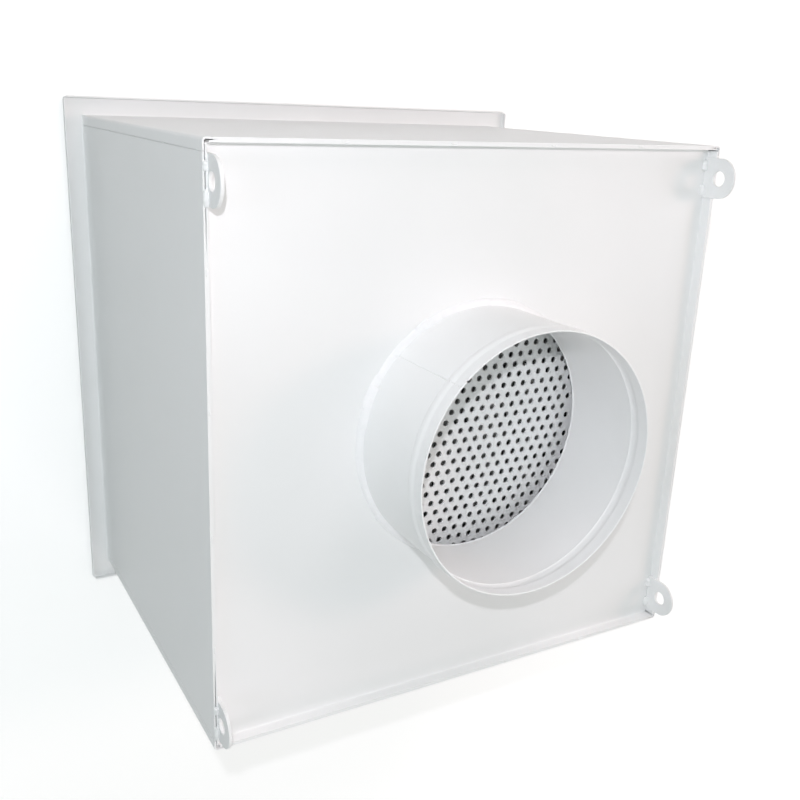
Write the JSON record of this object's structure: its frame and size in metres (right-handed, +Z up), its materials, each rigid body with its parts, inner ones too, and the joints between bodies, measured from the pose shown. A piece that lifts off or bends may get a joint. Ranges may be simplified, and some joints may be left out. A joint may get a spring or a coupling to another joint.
{
  "type": "hepa filter box",
  "caption": "Square sheet-steel terminal housing for a deep pleated air filter, with a round duct spigot, hanging lugs, perforated baffle and clamped filter.",
  "frame": {"origin": "centre of the outlet, on the underside of the outlet flange", "axes": "+Z up through the duct spigot, away from the outlet; +Y towards the lapped wall that is uppermost in the picture; +X to the right in the picture"},
  "size_m": [0.58, 0.58, 0.506],
  "materials": {
    "white_powder_coat": "satin white powder coat on folded steel sheet",
    "zinc_fastener": "bright zinc plating",
    "filter_frame_aluminium": "mill-finish extruded aluminium",
    "filter_paper": "white glass-fibre filter paper",
    "white_sealant": "white sealant drawn smooth",
    "gasket_foam": "dark closed-cell foam rubber"
  },
  "bodies": {
    "root": {"wall_right": "white_powder_coat", "wall_top": "white_powder_coat", "wall_left": "white_powder_coat", "wall_bottom": "white_powder_coat", "inlet_panel": "white_powder_coat", "duct_spigot": "white_powder_coat", "spigot_sealant": "white_sealant", "lug_welds": "white_powder_coat", "rim_tack_welds": "white_powder_coat", "lug_bottom_left": "white_powder_coat", "lug_bottom_right": "white_powder_coat", "lug_top_left": "white_powder_coat", "lug_top_right": "white_powder_coat", "baffle_plate": "white_powder_coat", "baffle_bracket_bottom_left": "white_powder_coat", "baffle_bracket_bottom_right": "white_powder_coat", "baffle_bracket_top_left": "white_powder_coat", "baffle_bracket_top_right": "white_powder_coat", "baffle_screws": "zinc_fastener", "baffle_nuts": "zinc_fastener", "seat_rail_right": "white_powder_coat", "seat_rail_top": "white_powder_coat", "seat_rail_left": "white_powder_coat", "seat_rail_bottom": "white_powder_coat", "filter_side_right": "filter_frame_aluminium", "filter_side_top": "filter_frame_aluminium", "filter_side_left": "filter_frame_aluminium", "filter_side_bottom": "filter_frame_aluminium", "filter_pleats": "filter_paper", "filter_gasket": "gasket_foam", "clamp_bottom_left": "zinc_fastener", "clamp_bottom_right": "zinc_fastener", "clamp_top_left": "zinc_fastener", "clamp_top_right": "zinc_fastener", "clamp_studs": "zinc_fastener", "clamp_washers": "zinc_fastener", "clamp_nuts": "zinc_fastener"}
  },
  "joints": []
}
